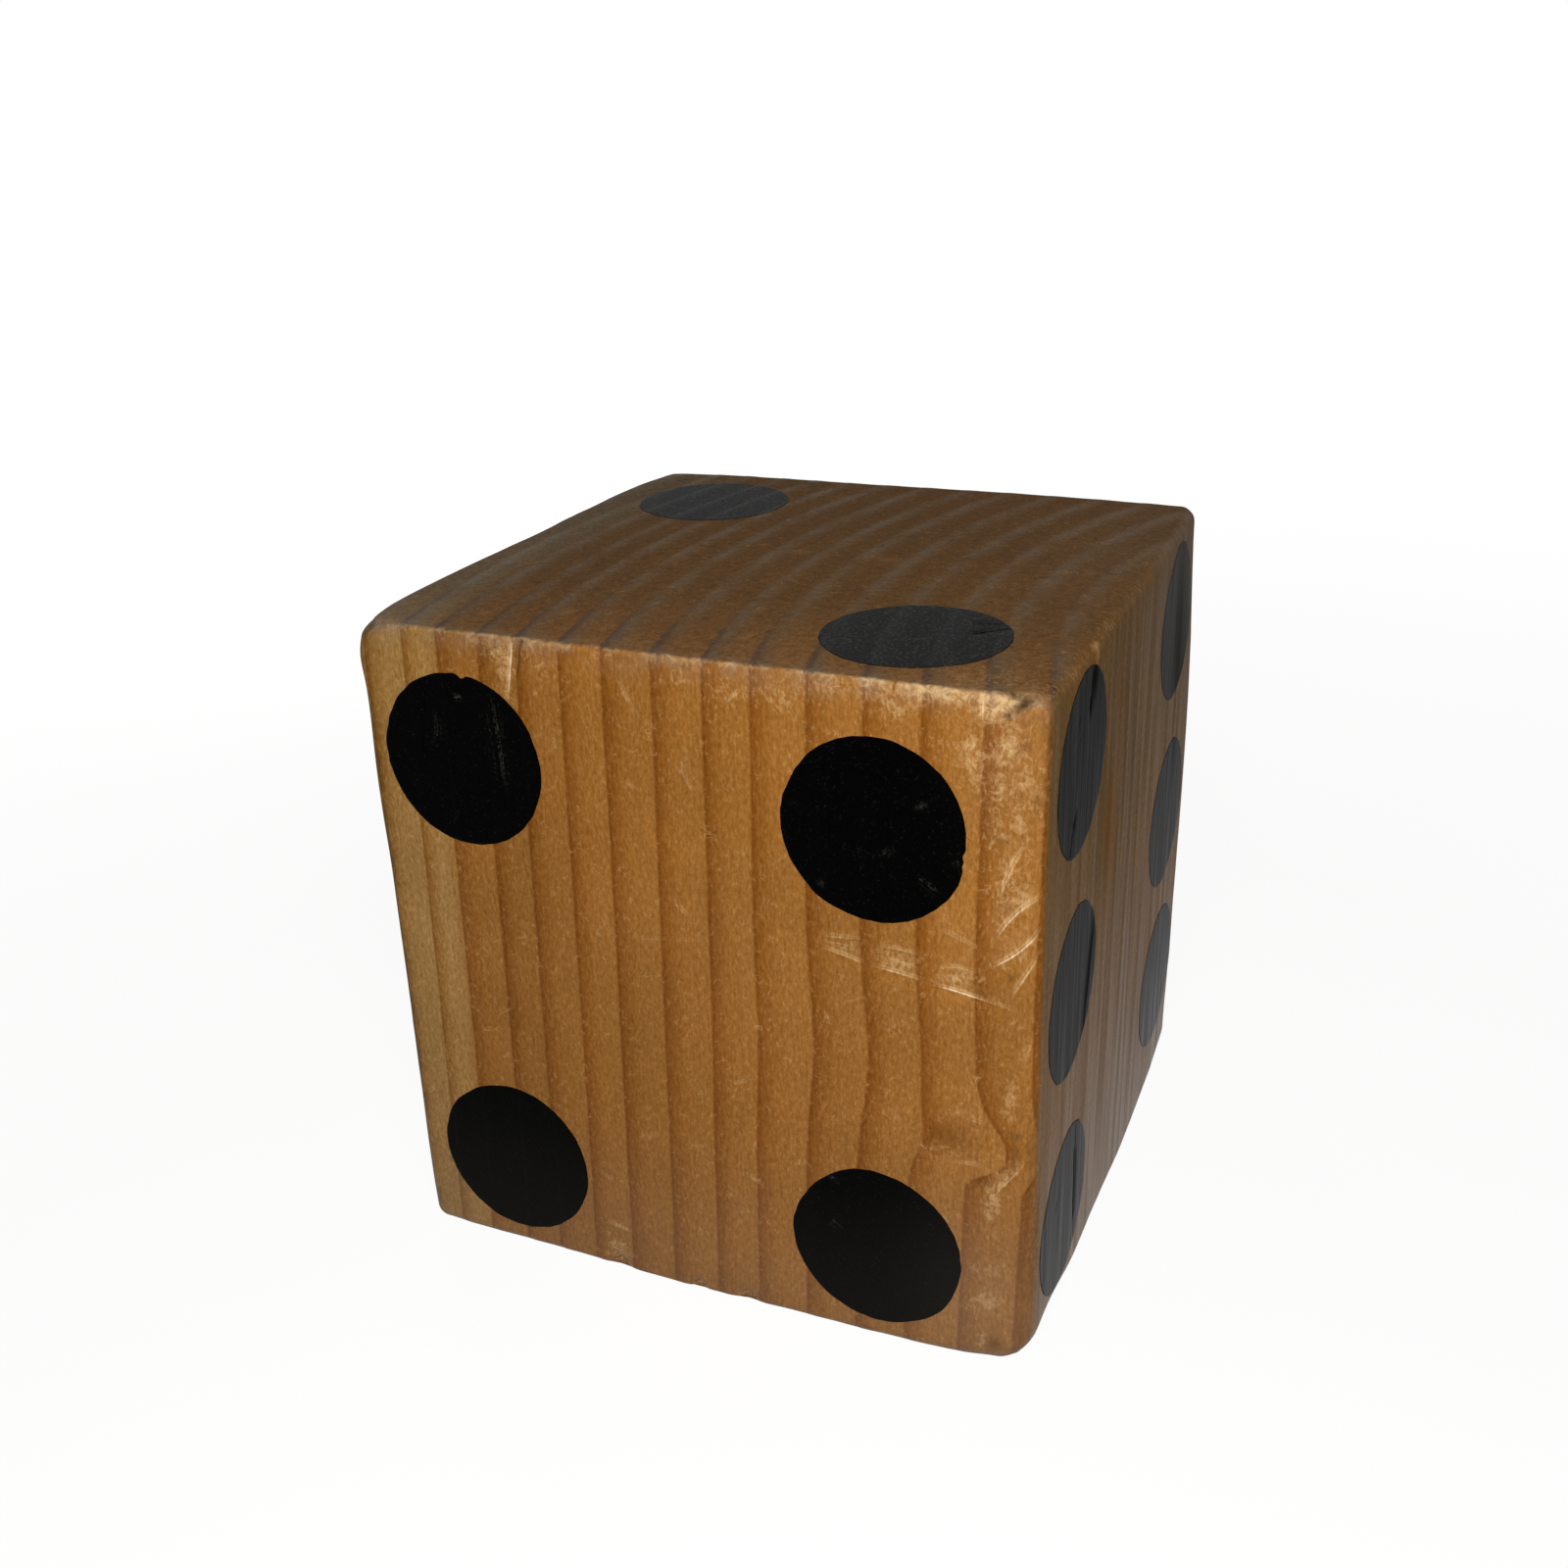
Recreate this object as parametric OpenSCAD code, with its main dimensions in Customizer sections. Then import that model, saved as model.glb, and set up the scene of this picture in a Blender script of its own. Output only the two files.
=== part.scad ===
// Wooden throwing die: one block sawn from a square post, its pips painted on by hand in black.
// The origin is at the middle of the base. +Z runs up along the grain and the four-pip face looks to -Y.

/* [Block] */
// Width across the four-pip face
block_w = 86.5; // [82:0.5:110]
// Depth from the four-pip face to the back
block_d = 83.5; // [80:0.5:110]
// Height, along the grain
block_h = 89; // [84:0.5:110]

/* [Edges] */
// Round-over where the front meets the top, the crispest edge
front_top_r = 1; // [0.5:0.25:4]
// Round-over where the front meets the base
front_base_r = 1.75; // [0.5:0.25:4]
// Round-over where the front meets the left side
front_left_r = 2; // [0.5:0.25:4]
// Round-over where the front meets the right side
front_right_r = 1.75; // [0.5:0.25:4]
// Round-over where the top meets the left side
top_left_r = 1.75; // [0.5:0.25:4]
// Round-over where the top meets the right side
top_right_r = 2; // [0.5:0.25:4]
// Round-over where the top meets the back
top_back_r = 2; // [0.5:0.25:4]
// Round-over where the right side meets the back
right_back_r = 2.5; // [0.5:0.25:4]
// Round-over where the right side meets the base
right_base_r = 2.5; // [0.5:0.25:4]
// Round-over of the edges at the back left and below them
far_edge_r = 2; // [0.5:0.25:4]

/* [Corners] */
// Length of edge worn away at the two front corners of the top
top_wear = 2.5; // [1:0.25:5]
// Length of edge worn away at the four corners at the back
back_wear = 4.5; // [1:0.25:5]
// Length of edge worn away at the corner the die has landed on most, front right at the base
knocked_wear = 5.5; // [1:0.25:7]
// Length of edge worn away at the best kept corner, front left at the base
kept_wear = 2; // [0.5:0.25:5]
// Distance from each face to the centre of the ball that a worn corner follows
wear_ball_in = 10; // [8:0.5:16]

/* [Paint] */
// Diameter of a painted pip
pip_d = 22.2; // [16:0.2:23]
// Depth that the paint has sunk into the wood
paint_depth = 0.4; // [0.2:0.1:1]
// Room between the rim of the paint and the wall of its seat
rim_clearance = 0.02; // [0.01:0.01:0.1]

/* [Two, on the top] */
// Left side to the centre of the back left pip
two_inset_left = 17.6; // [14:0.1:30]
// Back to the centre of the back left pip
two_inset_back = 18.3; // [14:0.1:26]
// Right side to the centre of the front right pip
two_inset_right = 19.9; // [14:0.1:30]
// Front to the centre of the front right pip
two_inset_front = 15.3; // [14:0.1:26]

/* [Four, on the front] */
// Left side to the line of the left column
four_inset_left = 14.5; // [13.5:0.1:28]
// Right side to the line of the right column
four_inset_right = 19.7; // [13.5:0.1:28]
// Top to the line of the upper row
four_inset_top = 17.3; // [13.5:0.1:28]
// Base to the line of the lower row
four_inset_base = 14.4; // [13.5:0.1:28]
// How far the left column leans out between its two pips
four_lean = 1.3; // [0:0.1:3]
// How far the upper row drops between its two pips
four_drop = 1.2; // [0:0.1:3]

/* [Six, on the right side] */
// Front to the line of the front column
six_inset_front = 15.3; // [13.5:0.1:26]
// Back to the line of the back column
six_inset_back = 13.7; // [13.5:0.1:26]
// Top to the line of the upper row
six_inset_top = 13.1; // [13:0.1:16]
// Base to the line of the lower row
six_inset_base = 16.8; // [14:0.1:18]
// How far the back column leans out from its upper pip to its lower one
six_lean = 1; // [0:0.1:1.5]
// How far the lower row rises from its front pip to its back one
six_rise = 3.9; // [0:0.1:5]

/* [One, three and five, out of sight] */
// Edges to the centres of the outer pips of the three and the five
plain_inset = 16; // [14:0.5:24]

/* [Hidden] */
$fn = 96;
wood_colour = "#a8672c";
paint_colour = "#161413";
over = 1; // how far a cutter stands past the face it opens

half_w = block_w / 2;
half_d = block_d / 2;
half_h = block_h / 2;

plain_u = half_w - plain_inset;
plain_v = half_h - plain_inset;
plain_y = half_d - plain_inset;

four_left_u = four_inset_left - half_w;
four_right_u = half_w - four_inset_right;
four_upper_v = half_h - four_inset_top;
four_lower_v = four_inset_base - half_h;

six_front_u = six_inset_front - half_d;
six_back_u = half_d - six_inset_back;
six_upper_v = half_h - six_inset_top;
six_lower_v = six_inset_base - half_h;
six_middle_v = (six_upper_v + six_lower_v) / 2;

// Each face: the turn that lays its own right, up and outward on X, Y and Z, and its middle
TOP = [[0, 0, 0], [0, 0, block_h]];
BASE = [[180, 0, 0], [0, 0, 0]];
FRONT = [[90, 0, 0], [0, -half_d, half_h]];
BACK = [[90, 0, 180], [0, half_d, half_h]];
RIGHT = [[90, 0, 90], [half_w, 0, half_h]];
LEFT = [[90, 0, -90], [-half_w, 0, half_h]];

// Each pip: its name, its face, and its centre from the middle of the face to the right and up
PIPS = [
    ["pip_one", LEFT, 0, 0],

    ["pip_two_back_left", TOP, two_inset_left - half_w, half_d - two_inset_back],
    ["pip_two_front_right", TOP, half_w - two_inset_right, two_inset_front - half_d],

    ["pip_three_upper_left", BACK, -plain_u, plain_v],
    ["pip_three_middle", BACK, 0, 0],
    ["pip_three_lower_right", BACK, plain_u, -plain_v],

    ["pip_four_upper_left", FRONT, four_left_u - four_lean / 2, four_upper_v + four_drop / 2],
    ["pip_four_upper_right", FRONT, four_right_u, four_upper_v - four_drop / 2],
    ["pip_four_lower_left", FRONT, four_left_u + four_lean / 2, four_lower_v],
    ["pip_four_lower_right", FRONT, four_right_u, four_lower_v],

    ["pip_five_front_left", BASE, -plain_u, plain_y],
    ["pip_five_front_right", BASE, plain_u, plain_y],
    ["pip_five_middle", BASE, 0, 0],
    ["pip_five_back_left", BASE, -plain_u, -plain_y],
    ["pip_five_back_right", BASE, plain_u, -plain_y],

    ["pip_six_front_upper", RIGHT, six_front_u, six_upper_v],
    ["pip_six_front_middle", RIGHT, six_front_u, six_middle_v],
    ["pip_six_front_lower", RIGHT, six_front_u, six_lower_v - six_rise / 2],
    ["pip_six_back_upper", RIGHT, six_back_u - six_lean / 2, six_upper_v],
    ["pip_six_back_middle", RIGHT, six_back_u, six_middle_v],
    ["pip_six_back_lower", RIGHT, six_back_u + six_lean / 2, six_lower_v + six_rise / 2],
];

// Rectangle about the origin whose four corners have their own radii,
// given anticlockwise from the lower left
module eased_rectangle(size, radii) {
    difference() {
        square(size, center = true);
        for (i = [0:3]) {
            side = [i == 1 || i == 2 ? 1 : -1, i > 1 ? 1 : -1];
            translate([side.x * size.x / 2, side.y * size.y / 2])
                difference() {
                    square(2 * radii[i], center = true);
                    translate(-side * radii[i]) circle(radii[i]);
                }
        }
    }
}

// Places its children on a face, with +Z pointing out of the block
module on_face(face, u = 0, v = 0) {
    translate(face[1]) rotate(face[0]) translate([u, v, 0]) children();
}

// The three ways a bit runs round the block, one for each set of four parallel edges
module eased_block() {
    intersection() {
        linear_extrude(block_h)
            eased_rectangle([block_w, block_d], [front_left_r, front_right_r, right_back_r, far_edge_r]);
        on_face(FRONT)
            translate([0, 0, -block_d])
                linear_extrude(block_d)
                    eased_rectangle([block_w, block_h], [far_edge_r, right_base_r, top_right_r, top_left_r]);
        on_face(RIGHT)
            translate([0, 0, -block_w])
                linear_extrude(block_w)
                    eased_rectangle([block_d, block_h], [front_base_r, far_edge_r, top_back_r, front_top_r]);
    }
}

// What wear takes off a corner at the origin whose block lies towards +X, +Y and +Z
module corner_loss(wear) {
    ball_r = norm([wear_ball_in - wear, wear_ball_in, wear_ball_in]);
    difference() {
        translate(-[over, over, over]) cube(wear_ball_in + over);
        translate([wear_ball_in, wear_ball_in, wear_ball_in]) sphere(ball_r);
    }
}

// The loss at all eight corners, each as worn as the photo shows it
module corner_losses() {
    for (right = [false, true], back = [false, true], top = [false, true]) {
        front_wear = top ? top_wear : right ? knocked_wear : kept_wear;
        translate([right ? half_w : -half_w, back ? half_d : -half_d, top ? block_h : 0])
            mirror([right ? 1 : 0, 0, 0])
                mirror([0, back ? 1 : 0, 0])
                    mirror([0, 0, top ? 1 : 0])
                        corner_loss(back ? back_wear : front_wear);
    }
}

// Shallow round seat that the paint of one pip fills
module pip_seat() {
    translate([0, 0, -paint_depth]) cylinder(h = paint_depth + over, d = pip_d + 2 * rim_clearance);
}

// The block: eased edges, worn corners and a seat under each pip
module block() {
    color(wood_colour)
        difference() {
            eased_block();
            corner_losses();
            for (pip = PIPS) on_face(pip[1], pip[2], pip[3]) pip_seat();
        }
}

// One pip: a disc of paint, level with the face around it
module pip(spot) {
    color(paint_colour)
        on_face(spot[1], spot[2], spot[3])
            translate([0, 0, -paint_depth]) cylinder(h = paint_depth, d = pip_d);
}

block();
for (spot = PIPS) pip(spot);
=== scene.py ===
"""Looks of the wooden throwing die: its worn softwood block and its painted pips, in a plain studio."""
import logging
import math
from dataclasses import dataclass, field
from enum import Enum

import bpy
import numpy as np
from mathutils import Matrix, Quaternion, Vector


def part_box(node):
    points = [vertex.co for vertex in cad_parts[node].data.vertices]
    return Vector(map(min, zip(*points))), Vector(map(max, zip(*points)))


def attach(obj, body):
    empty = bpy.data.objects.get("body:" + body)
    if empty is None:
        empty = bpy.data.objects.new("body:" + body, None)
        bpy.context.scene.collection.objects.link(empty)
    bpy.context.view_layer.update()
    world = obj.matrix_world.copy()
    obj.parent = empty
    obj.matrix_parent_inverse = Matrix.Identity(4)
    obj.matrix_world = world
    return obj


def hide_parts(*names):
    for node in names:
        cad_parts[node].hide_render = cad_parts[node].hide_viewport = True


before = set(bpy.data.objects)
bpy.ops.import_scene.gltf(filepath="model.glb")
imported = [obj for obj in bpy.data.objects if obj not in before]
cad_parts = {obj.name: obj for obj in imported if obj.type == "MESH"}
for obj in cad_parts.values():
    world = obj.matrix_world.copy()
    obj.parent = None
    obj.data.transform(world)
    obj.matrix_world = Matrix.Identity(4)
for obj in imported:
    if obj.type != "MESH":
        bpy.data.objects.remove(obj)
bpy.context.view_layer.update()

log = logging.getLogger("wooden_die")
Array = np.ndarray
Material = bpy.types.Material
Pair = tuple[float, float]
Triple = tuple[float, float, float]

MM = 0.001  # metres in a millimetre
HEIGHT = 89.0  # of the block, along the grain, in millimetres


class Face(Enum):
    """A side of the die: its own right, its own up and its outward direction, seen from outside."""

    FRONT = ((1, 0, 0), (0, 0, 1), (0, -1, 0))
    BACK = ((-1, 0, 0), (0, 0, 1), (0, 1, 0))
    RIGHT = ((0, 1, 0), (0, 0, 1), (1, 0, 0))
    LEFT = ((0, -1, 0), (0, 0, 1), (-1, 0, 0))
    TOP = ((1, 0, 0), (0, 1, 0), (0, 0, 1))
    BASE = ((1, 0, 0), (0, -1, 0), (0, 0, -1))

    @property
    def axes(self) -> Array:
        """The three directions as rows: right, up, outward."""
        return np.array(self.value, float)

    @property
    def outward(self) -> Array:
        """The direction that points out of the block."""
        return self.axes[2]


class Slot(Enum):
    """Material slot names, one for the wood and one for the paint."""

    WOOD = "varnished_softwood"
    PAINT = "black_paint"


class Kind(Enum):
    """What a mark does to the surface, named as the vertex attribute that carries it."""

    SCRAPE = "scrape"  # torn pale fibres above a crisp lip
    SCUFF_AND_HIGHLIGHT = "scuff"  # a soft pale rub; along the front's top edge also a painted highlight
    STAIN_AND_SHADE = "stain"  # dirt, or darker wood; along the front's side edges also painted shade
    CRACK = "crack"  # a thin dark split
    AMBER = "amber"  # varnish that is still whole
    DUST_AND_SHEEN = "dust"  # grey haze: dust, and in places a painted sheen


COMBED = (Kind.SCRAPE, Kind.CRACK)  # kinds that are drawn by the distance from their own middle line


def linear(code: str) -> tuple[float, float, float, float]:
    """Turn an sRGB hex value, six digits after a hash, into linear red, green, blue and an alpha of 1."""
    parts = [int(code[i:i + 2], 16) / 255 for i in (1, 3, 5)]
    flat = [c / 12.92 if c <= 0.04045 else ((c + 0.055) / 1.055) ** 2.4 for c in parts]
    return flat[0], flat[1], flat[2], 1.0


def ease(low: float, high: float, values: Array) -> Array:
    """Rise from 0 at low to 1 at high along a smooth S curve, 3t^2 - 2t^3."""
    t = np.clip((values - low) / (high - low), 0, 1)
    return t * t * (3 - 2 * t)


def cloud(points: Array, size: float, seed: int) -> Array:
    """Smooth random field in space.

    Each corner of a lattice has a random value, got by hashing its three whole numbers. Inside a cell
    the eight corners are blended with the curve 6t^5 - 15t^4 + 10t^3 along each axis.

    Args:
        points: places, one row each, in millimetres.
        size: edge of a lattice cell in millimetres.
        seed: which field.

    Returns:
        One value from -1 to 1 for each place.
    """
    cells = np.floor(points / size).astype(np.int64)
    t = points / size - cells
    t = t ** 3 * (t * (6 * t - 15) + 10)
    total = np.zeros(len(points))
    for corner in np.ndindex(2, 2, 2):
        key = (cells + corner) * np.array([73856093, 19349663, 83492791])
        mixed = key[:, 0] ^ key[:, 1] ^ key[:, 2] ^ (seed * 2654435761)
        mixed = ((mixed ^ (mixed >> 15)) * 2246822519) & 0xFFFFFFFF
        mixed = ((mixed ^ (mixed >> 13)) * 3266489917) & 0xFFFFFFFF
        value = (mixed ^ (mixed >> 16)) / 0x7FFFFFFF - 1
        total += value * np.prod(np.where(corner, t, 1 - t), axis=1)
    return total


@dataclass(frozen=True)
class Mark:
    """One knock, rub or split on a face.

    Sizes are in millimetres. The place is from the middle of the face, to the right and up, and is the
    middle of the mark, or of the lip of a scrape.
    """

    kind: Kind
    face: Face
    across: float
    up: float
    length: float  # half of it
    width: float  # reach to each side, or above the lip of a scrape
    turn: float = 0.0  # degrees from level, anticlockwise
    amount: float = 0.5
    depth: float = 0.0
    bow: float = 0.0  # how far its ends bend up, as a share of its half length
    lip_fade: float = 0.5  # reach below the lip; the finish cuts it off more sharply
    least_width: float = 0.6  # so that the mesh catches a thin one; the finish draws it thinner

    def strength(self, across: Array, up: Array) -> tuple[Array, Array]:
        """How much of the mark is felt at each place, and how far each place is above its middle line.

        The distance along the mark as a share of its half length, a, and the distance from the middle
        line as a share of its width, b, go into exp(-a^4 - b^2) for a scrape or a crack and into
        exp(-a^2 - b^2) for a soft mark. The middle line bends as a parabola.

        Args:
            across: places to the right of the face's middle.
            up: places above the face's middle.

        Returns:
            Values from 0 to 1, and distances in millimetres.
        """
        c, s = math.cos(math.radians(self.turn)), math.sin(math.radians(self.turn))
        along = ((across - self.across) * c + (up - self.up) * s) / self.length
        above = (up - self.up) * c - (across - self.across) * s - self.bow * self.length * along ** 2
        wide = max(self.width, self.least_width) if self.kind in COMBED else self.width
        if self.kind is Kind.SCRAPE:
            wide = np.where(above < 0, self.lip_fade, wide)
        power = 4 if self.kind in COMBED else 2
        return np.exp(-np.minimum(along ** power + (above / wide) ** 2, 30)), above


@dataclass(frozen=True)
class GrowthRings:
    """The yearly rings of the post: cylinders about a pith that stands outside the block, to its right."""

    pith_x: float = 140.0  # at the top of the block
    pith_y: float = -7.3
    lean: float = 0.0235  # how far the pith stands off to the right for each millimetre down
    bark_radius: float = 190.5  # radius of the outermost ring line
    widths: tuple[float, ...] = (
        5.6, 5.6, 4.7, 5.7, 5.0, 5.6, 5.4, 6.2, 6.2, 5.6, 6.5, 6.3, 6.4, 6.6, 6.7, 5.8, 5.7,
    )
    knot_x: float = 37.5  # a small knot at the front, near the right edge
    knot_y: float = -41.75
    knot_z: float = 32.5
    knot_push: float = 5.2  # how far it throws the rings aside
    knot_wide: float = 6.5
    knot_deep: float = 15.0
    knot_above: float = 4.6  # over which the push fades above it
    knot_below: Pair = (-6.0, -1.2)  # between which it comes in below it
    bend_push: float = 1.3  # of the rings beside the knot
    bend_x: float = 24.0
    bend_up: float = 9.0  # above the knot
    bend_wide: float = 15.0
    bend_tall: float = 10.0

    def swerve(self, points: Array) -> Array:
        """How far the knot throws the rings to the right.

        Above the knot the push fades slowly, as exp(-(height / reach)^1.6), and below it stops within a few
        millimetres. It fades as a bell curve to both sides and into the block. A broader, weaker bell
        bends the rings beside it.
        """
        x, y, z = points.T
        above = z - self.knot_z
        fade = np.exp(-(np.abs(above) / self.knot_above) ** 1.6)
        rise = np.where(above > 0, fade, ease(*self.knot_below, above))
        beside = np.exp(-((x - self.knot_x) / self.knot_wide) ** 2)
        inside = np.exp(-((y - self.knot_y) / self.knot_deep) ** 2)
        bend = np.exp(-((x - self.bend_x) / self.bend_wide) ** 2
                      - ((above - self.bend_up) / self.bend_tall) ** 2)
        return (self.knot_push * rise * beside + self.bend_push * bend) * inside

    def count(self, points: Array) -> Array:
        """Ring number at each place, whole at a ring line and growing towards the pith.

        The distance from the leaning pith is taken from the outermost radius, and the ring widths
        turn that depth into a number.

        Args:
            points: places in the block, in millimetres.

        Returns:
            Ring numbers with their fractions.
        """
        x = points[:, 0] + self.lean * (HEIGHT - points[:, 2]) - self.swerve(points)
        depth = self.bark_radius - np.hypot(x - self.pith_x, points[:, 1] - self.pith_y)
        lines = np.concatenate([[0.0], np.cumsum(self.widths)])
        return np.interp(depth, lines, np.arange(len(lines)))

    def flat_sawn(self, points: Array, normals: Array) -> Array:
        """How nearly the surface lies along the rings, where they show as broad soft figure."""
        away = points[:, :2] - (self.pith_x, self.pith_y)
        away /= np.linalg.norm(away, axis=1, keepdims=True)
        return ease(0.5, 0.95, np.abs(np.sum(away * normals[:, :2], axis=1)))

    @staticmethod
    def latewood(count: Array) -> Array:
        """Hardness by place in the ring: a steep rise at the ring line, then a slow fall."""
        phase = count - np.floor(count)
        return ease(0, 0.09, phase) * (1 - ease(0.12, 0.62, phase))


Socket = bpy.types.NodeSocket
Value = Socket | float | tuple  # an output to link, or a value to set
Stops = tuple[tuple[float, object], ...]  # places from 0 to 1, each with a colour or a number
WIDE = (0.3, 0.7)  # nearly all of a noise lies between these
NARROW = (0.35, 0.65)  # and most of it between these


@dataclass(frozen=True)
class Nodes:
    """A node tree, with a short call for each kind of shader node that the finishes use."""

    tree: bpy.types.NodeTree

    def add(self, kind: str, links: dict | None = None, **settings: object) -> bpy.types.Node:
        """Add one shader node with its settings and links.

        Args:
            kind: the node's type, without its ShaderNode prefix.
            links: for each input, by name or number, an output to link or a value to set.
            settings: the node's own properties.

        Returns:
            The node.
        """
        node = self.tree.nodes.new("ShaderNode" + kind)
        for name, value in settings.items():
            setattr(node, name, value)
        for key, value in (links or {}).items():
            if isinstance(value, Socket):
                self.tree.links.new(value, node.inputs[key])
            else:
                node.inputs[key].default_value = value
        return node

    def maths(self, operation: str, *values: Value, clamp: bool = False) -> Socket:
        """Arithmetic on up to three numbers."""
        return self.add("Math", dict(enumerate(values)), operation=operation, use_clamp=clamp).outputs[0]

    def vector(self, operation: str, *values: Value) -> Socket:
        """Arithmetic on up to three colours."""
        return self.add("VectorMath", dict(enumerate(values)), operation=operation).outputs[0]

    def product(self, total: Value, *shares: Value) -> Socket:
        """Multiply numbers in turn."""
        for share in shares:
            total = self.maths("MULTIPLY", total, share)
        return total

    def scaled(self, colour: Value, share: Value) -> Socket:
        """Make a colour lighter or darker."""
        return self.add("VectorMath", {0: colour, "Scale": share}, operation="SCALE").outputs[0]

    def between(self, value: Value, low: Value = 0.0, high: Value = 1.0, first: Value = 0.0,
                last: Value = 1.0) -> Socket:
        """Carry the span from low to high to the span from first to last, and hold both ends."""
        return self.add("MapRange", dict(enumerate((value, low, high, first, last)))).outputs[0]

    def shaded(self, colour: Value, value: Value, low: float, high: float, swing: float) -> Socket:
        """Darken and then lighten a colour by up to swing, as a value goes from low to high."""
        return self.scaled(colour, self.between(value, low, high, 1 - swing, 1 + swing))

    def noise(self, place: Socket, size: float | Pair, detail: float = 2.0,
              rough: float = 0.5, bent: float = 0.0) -> Socket:
        """A noise of a size in millimetres, or of one size across the grain and one along it."""
        scale = 1.0
        if isinstance(size, tuple):
            across, along = (1 / (span * MM) for span in size)
            place = self.add("Mapping", {"Vector": place, "Scale": (across, across, along)}).outputs[0]
        else:
            scale = 1 / (size * MM)
        return self.add("TexNoise", {"Vector": place, "Scale": scale, "Detail": detail, "Roughness": rough,
                                     "Distortion": bent}).outputs["Fac"]

    def hairs(self, comb: Socket, gap: float, rough: float = 0.5) -> Socket:
        """A noise that changes only with the distance from a mark's middle line."""
        return self.add("TexNoise", {"W": comb, "Scale": 1 / gap, "Detail": 2.0, "Roughness": rough},
                        noise_dimensions="1D").outputs["Fac"]

    def mix(self, share: Value, one: Value, other: Value) -> Socket:
        """Blend two colours."""
        return self.add("Mix", {0: share, 6: one, 7: other}, data_type="RGBA").outputs[2]

    def blend(self, share: Value, one: Value, other: Value) -> Socket:
        """Blend two numbers."""
        return self.add("Mix", {0: share, 2: one, 3: other}).outputs[0]

    def ramp(self, value: Socket, stops: Stops) -> Socket:
        """Look a value up between stops, which hold hex colours, linear colours or numbers."""
        node = self.add("ValToRGB", {"Fac": value})
        elements = node.color_ramp.elements
        while len(elements) < len(stops):
            elements.new(1.0)
        for element, (place, tone) in zip(elements, stops):
            element.position = place
            if isinstance(tone, str):
                tone = linear(tone)
            element.color = (tone, tone, tone, 1.0) if isinstance(tone, float) else tone
        return node.outputs["Color"]

    def place(self) -> tuple[Socket, dict[str, Socket]]:
        """The place on the object, whole and by axis."""
        whole = self.add("TexCoord").outputs["Object"]
        return whole, self.add("SeparateXYZ", {0: whole}).outputs

    def marks(self) -> dict[str, Socket]:
        """An output for each value that the skin's vertices carry."""
        names = ["ring", "end", "flat", "comb"] + [kind.value for kind in Kind]
        return {name: self.add("Attribute", attribute_name=name).outputs["Fac"] for name in names}

    def surface(self, colour: Socket, dull: Socket, specular: float, bump: dict) -> None:
        """Finish with one coat: its colour, its roughness, its shine and its bump."""
        normal = self.add("Bump", bump).outputs[0]
        coat = self.add("BsdfPrincipled", {"Base Color": colour, "Roughness": dull,
                                           "Specular IOR Level": specular, "Normal": normal})
        self.add("OutputMaterial", {0: coat.outputs[0]})


def new_material(name: str) -> tuple[Material, Nodes]:
    """Make an empty node material and return it with its nodes."""
    material = bpy.data.materials.new(name)
    material.use_nodes = True
    material.node_tree.nodes.clear()
    return material, Nodes(material.node_tree)


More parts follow.
